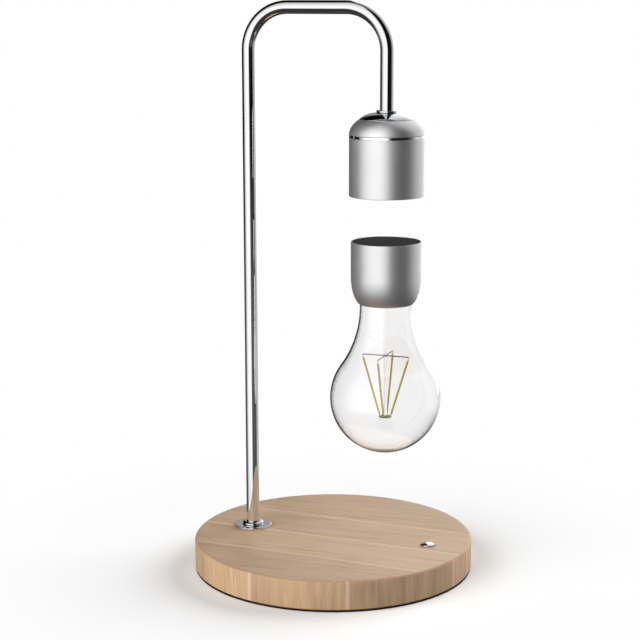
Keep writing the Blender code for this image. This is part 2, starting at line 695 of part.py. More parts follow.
# Filaments: four coated rods with a bare pin at each end, leaning in towards the hub
filament_radius = 0.7 * mm
pin_length = 1.5 * mm
filament_run = filament_top_r - filament_bottom_r
filament_rise = filament_top_z - filament_bottom_z
filament_length = math.hypot(filament_run, filament_rise)
filament_lean = math.atan2(filament_run, filament_rise)
filament_outline = [(0.0, 0.0), (wire_radius, 0.0), (wire_radius, pin_length),
                    (filament_radius, pin_length), (filament_radius, filament_length - pin_length),
                    (wire_radius, filament_length - pin_length), (wire_radius, filament_length),
                    (0.0, filament_length)]
filament_count = 4
for number in range(filament_count):
    direction = math.tau * number / filament_count
    filament = turned(f"filament_{number + 1}", filament_outline, filament_phosphor, bulb_axis,
                      sides=10)
    filament.location = (filament_bottom_r * math.cos(direction),
                         filament_bottom_r * math.sin(direction), filament_bottom_z)
    filament.rotation_euler = (0, filament_lean, direction)
filament_hub = ring("filament_hub", 0.0, hub_radius, hub_high - hub_height, hub_high, soft_iron,
                    bulb_axis, sides=small_sides)

# Lead wires from the driver board to the flare of the stem
lead_wire_radius = 0.4 * mm
lead_wire_offset = 5.0 * mm
flare_share = (flare_edge - lead_wire_offset - lead_wire_radius) / flare_edge
lead_wire_low = flare_centre_z + flare_depth_above * math.sqrt(1 - flare_share ** 2) + seat
for letter, side in (("a", 1), ("b", -1)):
    ring(f"lead_wire_{letter}", 0.0, lead_wire_radius, lead_wire_low, driver_low - seat,
         enamelled_copper, bulb_axis, at=(side * lead_wire_offset, 0.0, 0.0), sides=8)


# Button: domed cap in a well of the deck, its stem on the plunger of a tactile switch
cap_button_radius = 4.2 * mm
button_gap = 0.4 * mm
button_travel = 0.8 * mm
well_depth = 2.3 * mm
button_stand = 0.4 * mm
button_dome = 1.0 * mm
button_stem_radius = 2.2 * mm
clip_width = 1.3 * mm
clip_height = 0.8 * mm
switch_size = 6.0 * mm
switch_height = 3.5 * mm
plunger_radius = 1.6 * mm
plunger_stand = 0.9 * mm
plunger_length = 2.7 * mm
switch_board_width = 12.0 * mm
switch_board_corner = 1.0 * mm
well_floor = base_top - well_depth
cap_low = well_floor + button_travel + seat
dome_low = base_top + button_stand
switch_low = board_top + seat
switch_high = switch_low + switch_height
plunger_high = switch_high + plunger_stand
plunger_low = plunger_high - plunger_length
stem_bottom = plunger_high + seat
guide_bore = button_stem_radius + seat
button_outline = [(0.0, stem_bottom), (button_stem_radius, stem_bottom),
                  (button_stem_radius, cap_low), (cap_button_radius, cap_low)]
button_outline += arc(0.0, dome_low, cap_button_radius, button_dome, 0, 90, 6)[:-1]
button_outline += [(0.0, dome_low + button_dome)]
button_cap = turned("button_cap", button_outline, chrome_plate, button_axis,
                    sides=middle_sides)
well = ring("well_tool", 0.0, cap_button_radius + button_gap, well_floor, base_top + overrun,
            pale_oak, button_axis, sides=middle_sides)
guide = ring("guide_tool", 0.0, guide_bore, ceiling_z - overrun, well_floor + overrun / 2,
             pale_oak, button_axis, sides=small_sides)
combine(wooden_base, well, "DIFFERENCE")
combine(wooden_base, guide, "DIFFERENCE")
button_clip = ring("button_clip", guide_bore, guide_bore + clip_width,
                   ceiling_z - seat - clip_height, ceiling_z - seat, zinc_steel, button_axis,
                   sides=small_sides)
switch_board = plate("switch_board", switch_board_length, switch_board_width, switch_board_corner,
                     board_bottom, board_top, circuit_board,
                     centre=(button_offset - switch_board_shift, 0.0), steps=2)
tact_switch = box("tact_switch", switch_size, switch_size, switch_low, switch_high, black_plastic,
                  centre=(button_offset, 0.0))
plunger_hole = ring("plunger_hole_tool", 0.0, plunger_radius + seat,
                    plunger_low - button_travel - seat, switch_high + overrun, black_plastic,
                    button_axis, sides=small_sides)
combine(tact_switch, plunger_hole, "DIFFERENCE")
switch_plunger = ring("switch_plunger", 0.0, plunger_radius, plunger_low, plunger_high,
                      white_nylon, button_axis, sides=small_sides)

# Lead between the two boards, on the floor of the pocket
switch_lead_radius = 0.8 * mm
switch_lead_from = board_to + seat
switch_lead_to = button_offset - switch_board_shift - switch_board_length / 2 - seat
switch_lead = ring("switch_lead", 0.0, switch_lead_radius, 0.0, switch_lead_to - switch_lead_from,
                   grey_jacket, sides=8)
lengthwise(switch_lead, switch_lead_from, board_bottom + switch_lead_radius)
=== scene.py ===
"""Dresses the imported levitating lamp: an oak base, a chromed arch with its electromagnet head,
and the bulb that floats under it. The file follows the lamp as it is put together."""

import math

import bmesh
import bpy
import numpy as np
from mathutils import Matrix


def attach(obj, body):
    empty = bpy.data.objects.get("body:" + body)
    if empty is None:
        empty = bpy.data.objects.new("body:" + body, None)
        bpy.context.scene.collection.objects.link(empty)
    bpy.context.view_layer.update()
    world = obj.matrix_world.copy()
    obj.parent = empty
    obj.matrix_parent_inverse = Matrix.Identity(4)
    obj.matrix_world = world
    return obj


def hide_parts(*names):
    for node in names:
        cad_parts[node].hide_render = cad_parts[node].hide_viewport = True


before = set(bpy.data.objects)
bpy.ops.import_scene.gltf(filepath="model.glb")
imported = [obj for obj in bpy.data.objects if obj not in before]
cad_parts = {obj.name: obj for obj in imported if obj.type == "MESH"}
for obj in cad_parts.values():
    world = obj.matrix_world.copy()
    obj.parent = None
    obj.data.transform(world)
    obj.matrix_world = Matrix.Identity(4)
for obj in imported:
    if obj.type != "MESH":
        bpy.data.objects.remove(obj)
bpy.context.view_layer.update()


# ---- Camera ----
# The photograph was taken with a long lens from the front right, a little above the lamp. The
# place and the lens come from a fit to the outlines of the base, the head, the cup and the tube.
mm = 0.001
camera_place = (0.3410, -0.9379, 0.3508)
camera_turn = math.radians(20.43)
camera_tilt = math.radians(90.0 - 11.2)
camera_roll = -0.0019
camera_lens = 95.12

camera = bpy.data.objects.new("camera", bpy.data.cameras.new("camera"))
camera.data.lens = camera_lens
camera.data.sensor_width = 36.0
camera.data.clip_start = 0.05
camera.matrix_world = (Matrix.Translation(camera_place) @ Matrix.Rotation(camera_turn, 4, "Z")
                       @ Matrix.Rotation(camera_tilt, 4, "X")
                       @ Matrix.Rotation(camera_roll, 4, "Z"))
bpy.context.scene.collection.objects.link(camera)
bpy.context.scene.camera = camera


# ---- Wooden base ----
# A disc turned from glued oak planks and oiled. The pocket for the electronics, the bores for
# the tube and the button and the hole for the plug are milled, so the solid of the CAD stays.
def linear(code):
    """The linear RGBA of an sRGB hex colour: each channel c becomes ((c + 0.055) / 1.055) ** 2.4,
    or c / 12.92 where it is very dark."""
    shares = [int(code[i:i + 2], 16) / 255 for i in (1, 3, 5)]
    return (*[c / 12.92 if c <= 0.04045 else ((c + 0.055) / 1.055) ** 2.4 for c in shares], 1.0)


def add(tree, kind, sockets=(), **settings):
    """Adds a node. Settings are the node's own, and sockets holds a value, a node, whose first
    output is taken, or a node and the name of its output, for each socket that is set."""
    node = tree.nodes.new("ShaderNode" + kind)
    for name, value in settings.items():
        setattr(node, name, value)
    for socket, value in dict(sockets).items():
        if isinstance(value, bpy.types.Node):
            tree.links.new(value.outputs[0], node.inputs[socket])
        elif isinstance(value, tuple) and isinstance(value[0], bpy.types.Node):
            tree.links.new(value[0].outputs[value[1]], node.inputs[socket])
        else:
            node.inputs[socket].default_value = value
    return node


def fresh_finish(name):
    """An empty material, its tree, and a node that gives the piece's own place in millimetres."""
    material = bpy.data.materials.new(name)
    material.use_nodes = True
    tree = material.node_tree
    tree.nodes.clear()
    place = add(tree, "TexCoord")
    place = add(tree, "VectorMath", {0: (place, "Object"), 3: 1000.0}, operation="SCALE")
    return material, tree, place


def ramp(tree, share, stops, change):
    """The colours of a share from 0 to 1. Stops holds places on it, each with a linear RGBA, and
    change says how one colour gives way to the next."""
    node = add(tree, "ValToRGB", {"Fac": share})
    node.color_ramp.interpolation = change
    elements = node.color_ramp.elements
    for place, _ in stops[2:]:
        elements.new(place)
    for number, (place, colour) in enumerate(stops):
        elements[number].position = place
        elements[number].color = colour
    return node


def fade(tree, colours, share):
    """Colours spread evenly over a share from 0 to 1, each changing smoothly to the next."""
    last = len(colours) - 1
    stops = [(number / last, linear(colour)) for number, colour in enumerate(colours)]
    return ramp(tree, share, stops, "B_SPLINE")


def levels(tree, share, stops, change):
    """The same as ramp for shades of grey, each given as one number."""
    return ramp(tree, share, [(place, (level,) * 3 + (1.0,)) for place, level in stops], change)


# The joints between the planks: places in millimetres from the centre on the deck, whose planks
# run along X with a slight slope, and degrees round the rim. The tones are one for each plank.
base_radius = 85.0
plank_slope = 0.045
top_joints = (-43.0, -6.5, 31.0)
top_tones = (0.42, 0.58, 0.45, 0.40)
side_joints = (-151.0, -105.0, -64.6, -13.0, 38.0, 97.0, 151.0)
side_tones = (0.55, 0.70, 0.48, 0.32, 0.46, 0.60, 0.42, 0.55)
joint_width = 2.4
feather_width = 3.2
pore_width = 0.9
drift_width = 38.0
fibre_squeeze = 0.06
plank_shift = 900.0

# Oiled oak, planed and sanded: pale brown with long darker feathers and fine pores, and a soft
# sheen at a low angle. On the rim the lathe cuts across the planks, so the fibres stand upright.
oiled_oak, tree, place = fresh_finish("oiled_oak")
spot = add(tree, "SeparateXYZ", {0: place})
around = add(tree, "Math", {0: (spot, "Y"), 1: (spot, "X")}, operation="ARCTAN2")
out = add(tree, "VectorMath", {0: add(tree, "VectorMath", {0: place, 1: (1.0, 1.0, 0.0)},
                                      operation="MULTIPLY")}, operation="LENGTH")
rim = add(tree, "MapRange", {"Value": (out, "Value"), "From Min": base_radius - 1.5,
                             "From Max": base_radius - 0.3}, interpolation_type="SMOOTHSTEP")
across = add(tree, "Math", {0: (spot, "X"), 1: plank_slope, 2: (spot, "Y")},
             operation="MULTIPLY_ADD")
top_share = add(tree, "MapRange", {"Value": across, "From Min": -base_radius,
                                   "From Max": base_radius})
side_share = add(tree, "MapRange", {"Value": around, "From Min": -math.pi, "From Max": math.pi})
top_shares = [(joint + base_radius) / (2 * base_radius) for joint in top_joints]
side_shares = [(joint + 180.0) / 360.0 for joint in side_joints]
top_tone = levels(tree, top_share, list(zip([0.0] + top_shares, top_tones)), "CONSTANT")
side_tone = levels(tree, side_share, list(zip([0.0] + side_shares, side_tones)), "CONSTANT")
tone = add(tree, "Mix", {"Factor": rim, 2: top_tone, 3: side_tone}, data_type="FLOAT")

# The fibres lie along the planks on the deck and stand upright on the rim: the place is
# squeezed that way. Each plank has a grain of its own, because its tone shifts the place.
along_top = add(tree, "VectorMath", {0: place, 1: (fibre_squeeze, 1.0, 1.0)},
                operation="MULTIPLY")
along_top = add(tree, "VectorMath", {0: along_top, 1: add(tree, "CombineXYZ", {
    "Z": add(tree, "Math", {0: top_tone, 1: plank_shift}, operation="MULTIPLY")})},
                operation="ADD")
along_rim = add(tree, "VectorMath", {0: place, 1: (1.0, 1.0, fibre_squeeze)},
                operation="MULTIPLY")
fibres = add(tree, "Mix", {"Factor": rim, 4: along_top, 5: along_rim}, data_type="VECTOR")
feathers = add(tree, "TexNoise", {"Vector": (fibres, "Result"), "Scale": 1.0 / feather_width,
                                  "Detail": 2.0, "Roughness": 0.5, "Distortion": 0.5})
pores = add(tree, "TexNoise", {"Vector": (fibres, "Result"), "Scale": 1.0 / pore_width,
                               "Detail": 3.0, "Roughness": 0.6})
drift = add(tree, "TexNoise", {"Vector": place, "Scale": 1.0 / drift_width, "Detail": 2.0})
pore_share = add(tree, "MapRange", {"Value": rim, "To Min": 0.28, "To Max": 0.42})

# The tone of the plank, the feathers, the pores and a slow drift add up. The end behind the
# pillar is darkened with painted shade, where less of the lamps' light falls.
mixed = add(tree, "Math", {0: feathers, 1: 0.40, 2: -0.2}, operation="MULTIPLY_ADD")
fine = add(tree, "Math", {0: pores, 1: 0.5}, operation="SUBTRACT")
mixed = add(tree, "Math", {0: fine, 1: pore_share, 2: mixed}, operation="MULTIPLY_ADD")
mixed = add(tree, "Math", {0: drift, 1: 0.30, 2: mixed}, operation="MULTIPLY_ADD")
mixed = add(tree, "Math", {0: (tone, "Result"), 1: 0.60, 2: mixed}, operation="MULTIPLY_ADD")
ends = add(tree, "MapRange", {"Value": (spot, "X"), "From Min": -75.0, "From Max": -15.0,
                              "To Min": -0.12, "To Max": 0.0})
mixed = add(tree, "Math", {0: mixed, 1: ends}, operation="ADD")
mixed = add(tree, "MapRange", {"Value": mixed, "From Min": 0.10, "From Max": 0.80})
top_wood = fade(tree, ["#977d62", "#a98d71", "#b89c7e", "#c4a78b", "#cfb398"], mixed)
rim_wood = fade(tree, ["#8b7159", "#a3856a", "#b99876", "#cdab84", "#dfc099"], mixed)
wood = add(tree, "Mix", {"Factor": rim, 6: top_wood, 7: rim_wood}, data_type="RGBA")
dark_feathers = add(tree, "MapRange", {"Value": feathers, "From Min": 0.42, "From Max": 0.28,
                                       "To Max": 0.45}, interpolation_type="SMOOTHSTEP")
wood = add(tree, "Mix", {"Factor": dark_feathers, 6: (wood, "Result"), 7: linear("#9d8768")},
           data_type="RGBA")


def nearness(tree, share, places, width):
    """One at any of the places, and softly down to nothing at a width from them."""
    found = None
    for middle in places:
        step = add(tree, "Math", {0: share, 1: middle}, operation="SUBTRACT")
        step = add(tree, "Math", {0: step}, operation="ABSOLUTE")
        step = add(tree, "MapRange", {"Value": step, "From Min": 0.0, "From Max": width,
                                      "To Min": 1.0, "To Max": 0.0},
                   interpolation_type="SMOOTHSTEP")
        found = step if found is None else add(tree, "Math", {0: found, 1: step},
                                               operation="MAXIMUM")
    return found


# The glue joints show as pale bands, where the edges of the planks were planed.
top_line = nearness(tree, top_share, top_shares, joint_width / (4 * base_radius))
side_line = nearness(tree, side_share, side_shares,
                     joint_width * 1.5 / (4 * math.pi * base_radius))
band = add(tree, "Mix", {"Factor": rim, 2: top_line, 3: side_line}, data_type="FLOAT")
band = add(tree, "Math", {0: (band, "Result"), 1: 0.75}, operation="MULTIPLY")
wood = add(tree, "Mix", {"Factor": band, 6: (wood, "Result"), 7: linear("#d8bca1")},
           data_type="RGBA")
sheen = add(tree, "MapRange", {"Value": pores, "To Min": 0.52, "To Max": 0.40})
grain_relief = add(tree, "Bump", {"Height": pores, "Strength": 0.25, "Distance": 0.05 * mm})
shader = add(tree, "BsdfPrincipled", {"Base Color": (wood, "Result"), "Roughness": sheen,
                                      "Normal": grain_relief, "IOR": 1.5})
add(tree, "OutputMaterial", {"Surface": shader})


def dress(material, *nodes):
    """Gives solids that stay as the CAD made them their finish."""
    for name in nodes:
        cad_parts[name].material_slots[0].material = material


dress(oiled_oak, "wooden_base")


# ---- Foot pad and cover ----
# A disc of black foam rubber is glued under the wood, the thin dark line of the photograph.
# Over it a moulded cover closes the pocket and is held by four countersunk screws.
def grainy(name, dark, light, grain, rough, relief, metallic=0.0, ior=1.5):
    """A finish with one fine grain in colour, roughness and relief. The grain and the relief are
    in millimetres, and rough holds the smoothest and the roughest value."""
    material, tree, place = fresh_finish(name)
    fine = add(tree, "TexNoise", {"Vector": place, "Scale": 1.0 / grain, "Detail": 2.0})
    broad = add(tree, "TexNoise", {"Vector": place, "Scale": 1.0 / (25.0 * grain), "Detail": 1.0})
    both = add(tree, "Mix", {"Factor": 0.4, 2: fine, 3: broad}, data_type="FLOAT")
    colour = fade(tree, [dark, light], (both, "Result"))
    gloss = add(tree, "MapRange", {"Value": (both, "Result"), "From Min": 0.3, "From Max": 0.7,
                                   "To Min": rough[0], "To Max": rough[1]})
    bump = add(tree, "Bump", {"Height": fine, "Strength": 0.5, "Distance": relief * mm})
    shader = add(tree, "BsdfPrincipled", {"Base Color": colour, "Roughness": gloss,
                                          "Metallic": metallic, "IOR": ior, "Normal": bump})
    add(tree, "OutputMaterial", {"Surface": shader})
    return material


# Foam rubber has open pores, so it is dull. ABS from an eroded mould has an even fine texture,
# and zinc plate on steel is pale with a faint cloudiness.
foam_rubber = grainy("black_foam_rubber", "#0c0c0c", "#1c1b1a", 0.5, (0.8, 0.95), 0.10)
moulded_abs = grainy("moulded_black_abs", "#161616", "#232323", 0.35, (0.42, 0.55), 0.03)
zinc_plate = grainy("zinc_plated_steel", "#a9abad", "#cfd1d3", 0.8, (0.28, 0.42), 0.005, 1.0)


def rounded(corners, steps=6):
    """A closed outline with eased corners, as an array of (r, z). Each corner (r, z, ease) gives
    way to the arc of radius ease that touches both of its sides: the arc's centre lies on the
    halving line, ease / sin(half) from the corner, and its ends ease / tan(half) from it."""
    points, ease = np.array(corners)[:, :2], np.array(corners)[:, 2:]
    before, after = np.roll(points, 1, 0) - points, np.roll(points, -1, 0) - points
    before /= np.linalg.norm(before, axis=1, keepdims=True)
    after /= np.linalg.norm(after, axis=1, keepdims=True)
    half = np.arccos(np.clip((before * after).sum(1, keepdims=True), -1, 1)) / 2
    halving = before + after
    halving /= np.maximum(np.linalg.norm(halving, axis=1, keepdims=True), 1e-9)
    centre = points + halving * ease / np.sin(half)
    start = points + before * ease / np.tan(half) - centre
    end = points + after * ease / np.tan(half) - centre
    swing = np.maximum(math.pi - 2 * half, 1e-9)[:, None]
    share = np.linspace(0, 1, steps + 1)[None, :, None]
    arcs = (np.sin((1 - share) * swing) * start[:, None]
            + np.sin(share * swing) * end[:, None]) / np.sin(swing)
    line = (centre[:, None] + arcs).reshape(-1, 2)
    return line[np.linalg.norm(line - np.roll(line, 1, 0), axis=1) > 1e-5]


def skin(name, grid, material):
    """A closed surface over a grid of points in millimetres that wraps round both ways. A row
    whose points are all in one place is a pole, and rows at two poles have no face between them."""
    rows, sides = grid.shape[:2]
    number = np.arange(rows * sides).reshape(rows, sides)
    pole = np.ptp(grid, axis=1).max(1) < 1e-6
    number[pole] = number[pole, :1]
    a, b = number, np.roll(number, -1, 0)
    d, c = np.roll(a, -1, 1), np.roll(b, -1, 1)
    quads = np.stack([a, d, c, b], 2)
    after = np.roll(pole, -1)
    faces = quads[~pole & ~after].reshape(-1, 4).tolist()
    faces += quads[pole & ~after][..., [0, 2, 3]].reshape(-1, 3).tolist()
    faces += quads[~pole & after][..., [0, 1, 2]].reshape(-1, 3).tolist()
    used, places = np.unique(np.concatenate([np.ravel(f) for f in faces]), return_inverse=True)
    cuts = np.cumsum([0] + [len(f) for f in faces])
    faces = [places[start:end].tolist() for start, end in zip(cuts, cuts[1:])]
    mesh = bpy.data.meshes.new(name)
    mesh.from_pydata((grid.reshape(-1, 3)[used] * mm).tolist(), [], faces)
    mesh.shade_smooth()
    mesh.materials.append(material)
    piece = bpy.data.objects.new(name, mesh)
    bpy.context.scene.collection.objects.link(piece)
    even = piece.modifiers.new("even_shading", "WEIGHTED_NORMAL")
    even.weight = 80
    return piece


def turned(name, outline, material, at=0.0, sides=128):
    """A lathe-turned piece on an upright axis that crosses X at a place: the point (r, z) of the
    closed outline goes to (at + r cos a, r sin a, z) for each angle a of a whole turn."""
    outline = np.asarray(outline, float)
    r, z = outline.T
    if (r * np.roll(z, -1) - np.roll(r, -1) * z).sum() < 0:
        outline = outline[::-1]
    r, z = outline[:, :1], outline[:, 1:]
    angle = np.linspace(0, 2 * math.pi, sides, endpoint=False)[None]
    return skin(name, np.stack([at + r * np.cos(angle), r * np.sin(angle), z + 0 * angle], 2),
                material)


def fitted(piece, body, slot, *nodes):
    """Lets a piece ride on a body in place of the solids that it stands for."""
    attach(piece, body)
    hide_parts(*nodes)


pad_r = 84.7
pad_high = 1.05
pad = turned("foot_pad", rounded([(0, 0, 0), (pad_r, 0, 0.2), (pad_r, pad_high, 0.2),
                                  (0, pad_high, 0)]), foam_rubber, sides=192)
fitted(pad, "stand", "black_rubber", "antislip_pad")
dress(moulded_abs, "base_cover")
dress(zinc_plate, *(f"cover_screw_{number}" for number in range(1, 5)))


# ---- Electronics of the base ----
# Bare green circuit boards, the barrel socket for the plug, a nylon lead socket and the switch
# with its short lead. They sit in the pocket and are soldered or pushed together.
# Solder mask over glass fibre: glossy green, with copper tracks that show through it.
solder_mask, tree, place = fresh_finish("green_solder_mask")
tracks = add(tree, "TexBrick", {"Vector": place, "Scale": 0.22, "Mortar Size": 0.035,
                                "Color1": linear("#0f5a2c"), "Color2": linear("#14672f"),
                                "Mortar": linear("#2f8a45")}, offset=0.37)
bump = add(tree, "Bump", {"Height": (tracks, "Fac"), "Strength": 0.3, "Distance": 0.035 * mm})
cloud = add(tree, "TexNoise", {"Vector": place, "Scale": 0.2})
gloss = add(tree, "MapRange", {"Value": cloud, "To Min": 0.22, "To Max": 0.38})
shader = add(tree, "BsdfPrincipled", {"Base Color": tracks, "Roughness": gloss, "Normal": bump})
add(tree, "OutputMaterial", {"Surface": shader})

# Natural nylon is milky and slightly mottled. The PVC jacket of a lead is dull and even.
natural_nylon = grainy("natural_nylon", "#d8d6cc", "#ecebe4", 0.6, (0.38, 0.5), 0.01)
pvc_jacket = grainy("grey_pvc_jacket", "#6f7072", "#858688", 0.5, (0.5, 0.62), 0.01)
dress(solder_mask, "base_board", "switch_board", "sensor_board", "head_board", "driver_board")
dress(natural_nylon, "lead_socket", "head_socket", "switch_plunger", "electromagnet_bobbin",
      "neck_holder")
dress(pvc_jacket, "switch_lead", "internal_lead")
dress(moulded_abs, "dc_jack", "tact_switch")


# ---- Arch ----
# One length of 8 mm brass tube, bent twice, polished and chromed. It goes through a flange and
# a ferrule, and a nut under the wooden deck pulls it tight.
# Chrome plate: a mirror with a faint blue cast, and hardly any haze from handling.
chrome, tree, place = fresh_finish("bright_chrome_plate")
haze = add(tree, "TexNoise", {"Vector": place, "Scale": 1.0 / 7.0, "Detail": 3.0})
colour = fade(tree, ["#c6c7c9", "#cfd0d2"], haze)
gloss = add(tree, "MapRange", {"Value": haze, "From Min": 0.3, "From Max": 0.7,
                               "To Min": 0.015, "To Max": 0.04})
shader = add(tree, "BsdfPrincipled", {"Base Color": colour, "Roughness": gloss, "Metallic": 1.0})
add(tree, "OutputMaterial", {"Surface": shader})

# The pillar stands at pillar_x and the lamp hangs at lamp_x, and run_z is the height of the
# tube's level run. A piece that the tube goes through has the radius tube_fit inside.
pillar_x = -53.4
lamp_x = 33.3
run_z = 338.3
bend = 25.0
tube_r = 4.0
tube_bore = 2.5
tube_foot = 8.0
tube_tip = 272.0
tube_fit = 4.05
flange_r = 11.6
flange_low = 18.52
flange_high = 19.8


def arch_line(foot, tip, hidden=4.0, steps=24):
    """The tube's centre line in the plane of X and Z and its direction at each point: straight
    up, a quarter circle, straight along X, a quarter circle and straight down. A ring of points
    at the hidden length above the tip keeps the end face from bending the reflections."""
    turn = np.linspace(0, math.pi / 2, steps + 1)
    up = np.stack([pillar_x + bend - bend * np.cos(turn), run_z - bend + bend * np.sin(turn)], 1)
    down = np.stack([lamp_x - bend + bend * np.sin(turn), run_z - bend + bend * np.cos(turn)], 1)
    ways = np.concatenate([[0], turn, math.pi / 2 + turn, [math.pi, math.pi]])
    line = np.concatenate([[(pillar_x, foot)], up, down, [(lamp_x, tip + hidden), (lamp_x, tip)]])
    return line, np.stack([np.sin(ways), np.cos(ways)], 1)


def tube(name, line, ways, outer, inner, material, sides=64):
    """A pipe along a flat line: each point of the outer and inner circles lies at
    centre + radius * (cos a * sideways + sin a * Y), with sideways square to the line."""
    angle = np.linspace(0, 2 * math.pi, sides, endpoint=False)[None, :, None]
    flat = np.stack([line[:, 0], 0 * line[:, 0], line[:, 1]], 1)[:, None]
    sideways = np.stack([ways[:, 1], 0 * ways[:, 0], -ways[:, 0]], 1)[:, None]
    ring = np.cos(angle) * sideways + np.sin(angle) * np.array([0.0, 1.0, 0.0])
    return skin(name, np.concatenate([(flat + outer * ring), (flat + inner * ring)[::-1]]),
                material)


line, ways = arch_line(tube_foot, tube_tip)
arch = tube("chromed_arch", line, ways, tube_r, tube_bore, chrome)
fitted(arch, "stand", "chrome_plate", "pillar_tube")
flange = turned("foot_flange", rounded([(tube_fit, flange_low, 0.05), (flange_r, flange_low, 0.15),
                                        (flange_r, flange_high, 0.35),
                                        (tube_fit, flange_high, 0.05)]), chrome, pillar_x)
fitted(flange, "stand", "chrome_plate", "pillar_flange")
ferrule = turned("foot_ferrule", rounded([(tube_fit, 19.83, 0.05), (6.2, 19.83, 0.1),
                                          (6.55, 20.8, 0.75), (5.3, 21.6, 0.7),
                                          (tube_fit, 21.6, 0.1)]), chrome, pillar_x)
fitted(ferrule, "stand", "chrome_plate", "pillar_ferrule")
dress(zinc_plate, "pillar_washer", "pillar_nut", "head_nut")


# ---- Head ----
# A turned aluminium sleeve and dome with a polished trim ring pressed between them. The crown is
# a chromed disc, and the tube enters through a collar. A nut inside the crown holds the tube.
# Bead-blasted, clear anodised aluminium: even and silky. The beads leave dents 0.1 mm wide,
# drawn here at 0.3 mm, because finer ones wouldn't show.
satin, tree, place = fresh_finish("bead_blasted_aluminium")
dents = add(tree, "TexNoise", {"Vector": place, "Scale": 1.0 / 0.3, "Detail": 2.0})
cloud = add(tree, "TexNoise", {"Vector": place, "Scale": 1.0 / 12.0, "Detail": 2.0})
colour = fade(tree, ["#e0e0e1", "#e7e7e8"], cloud)
gloss = add(tree, "MapRange", {"Value": cloud, "From Min": 0.3, "From Max": 0.7,
                               "To Min": 0.43, "To Max": 0.47})
bump = add(tree, "Bump", {"Height": dents, "Strength": 0.15, "Distance": 0.01 * mm})
shader = add(tree, "BsdfPrincipled", {"Base Color": colour, "Roughness": gloss, "Metallic": 0.96,
                                      "Normal": bump})
add(tree, "OutputMaterial", {"Surface": shader})

# The trim ring is cut with a diamond tool: a bright mirror with faint turning lines.
bright_cut, tree, place = fresh_finish("diamond_cut_trim")
lines = add(tree, "TexWave", {"Vector": place, "Scale": 1.2, "Distortion": 0.3},
            bands_direction="Z")
colour = fade(tree, ["#e2e3e5", "#eaebec"], lines)
gloss = add(tree, "MapRange", {"Value": lines, "To Min": 0.01, "To Max": 0.02})
shader = add(tree, "BsdfPrincipled", {"Base Color": colour, "Roughness": gloss, "Metallic": 1.0})
add(tree, "OutputMaterial", {"Surface": shader})

# Heights are above the floor. The sleeve and the dome are hollow out to head_inner, and the
# dome is a quarter of an ellipse, cut off where the crown sits.
head_r = 22.0
head_inner = 20.8
head_low = 229.6
sleeve_high = 263.70
ring_inset = 0.12
ring_inner = 19.2
ring_low, ring_high = 263.75, 265.25
dome_low = 265.30
dome_rise = 13.25
dome_wall = 1.2
crown_r = 16.1
crown_low = 274.4
crown_high = 278.15
crown_power = 3.8
crown_wall = 0.9

sleeve = turned("head_sleeve_skin", rounded([(head_r, head_low, 0.3), (head_r, sleeve_high, 0.12),
                                             (head_inner, sleeve_high, 0),
                                             (head_inner, head_low, 0.12)]),
                satin, lamp_x, 192)
fitted(sleeve, "stand", "satin_aluminium", "head_sleeve")
trim = turned("head_trim", rounded([(head_r - ring_inset, ring_low, 0.1),
                                    (head_r - ring_inset, ring_high, 0.1),
                                    (ring_inner, ring_high, 0), (ring_inner, ring_low, 0)]),
              bright_cut, lamp_x, 192)
fitted(trim, "stand", "chrome_plate", "head_trim_ring")

swing = np.linspace(0, math.acos(crown_r / head_r), 40)
outer = np.stack([head_r * np.cos(swing), dome_low + dome_rise * np.sin(swing)], 1)
inner = np.stack([head_inner * np.cos(swing),
                  dome_low + (dome_rise - dome_wall) * np.sin(swing)], 1)[::-1]
dome = turned("head_dome_skin", np.concatenate([outer, inner]), satin, lamp_x, 192)
fitted(dome, "stand", "satin_aluminium", "head_dome")

# The crown is nearly flat in the middle: its height falls with a high power of the radius.
reach = np.linspace(tube_fit, crown_r - 0.05, 48)
fall = (reach / crown_r) ** crown_power
outer = np.stack([reach, crown_low + (crown_high - crown_low) * (1 - fall)], 1)
inner = outer[::-1] * (0.95, 1.0) - (0.0, crown_wall)
inner[-1, 0] = tube_fit
crown = turned("head_crown", np.concatenate([outer, inner]), chrome, lamp_x, 192)
fitted(crown, "stand", "chrome_plate", "head_top_cap")
collar = turned("head_collar_ring", rounded([(tube_fit, 277.9, 0.05), (5.3, 277.9, 0.2),
                                             (6.1, 278.5, 0.3), (6.1, 279.5, 0.4),
                                             (tube_fit, 279.65, 0.1)]), chrome, lamp_x)
fitted(collar, "stand", "chrome_plate", "head_collar")

# The plate under the coil and the lid of the cup are black acetal, turned matt.
matt_acetal = grainy("matt_black_acetal", "#1a1a1a", "#212121", 0.4, (0.80, 0.92), 0.02, ior=1.3)
face_r = 20.75
face_low, face_high = 230.4, 232.4
face = turned("head_face", rounded([(0, face_low, 0), (face_r, face_low, 0.2),
                                    (face_r, face_high, 0.2), (0, face_high, 0)]),
              matt_acetal, lamp_x)
fitted(face, "stand", "satin_black", "head_bottom_plate")

# Enamelled copper wire wound side by side: fine ridges 0.5 mm apart and a warm gloss.
copper_wire, tree, place = fresh_finish("enamelled_copper_wire")
ridges_and_groove_shade = add(tree, "TexWave", {"Vector": place, "Scale": 0.628, "Distortion": 0.3},
            bands_direction="Z")
# Over the copper's own colour, painted shade darkens the grooves between turns and a painted
# highlight lightens their crowns.
colour = fade(tree, ["#5a2412", "#8f4420", "#b86a3a"], (ridges_and_groove_shade, "Fac"))
cloud = add(tree, "TexNoise", {"Vector": place, "Scale": 0.4})
gloss = add(tree, "MapRange", {"Value": cloud, "To Min": 0.2, "To Max": 0.34})
bump = add(tree, "Bump", {"Height": (ridges_and_groove_shade, "Fac"), "Strength": 0.6, "Distance": 0.2 * mm})
shader = add(tree, "BsdfPrincipled", {"Base Color": colour, "Roughness": gloss, "Metallic": 0.8,
                                      "Normal": bump})
add(tree, "OutputMaterial", {"Surface": shader})
soft_iron = grainy("annealed_soft_iron", "#6e6c6a", "#8b8987", 0.9, (0.34, 0.5), 0.01, 1.0)
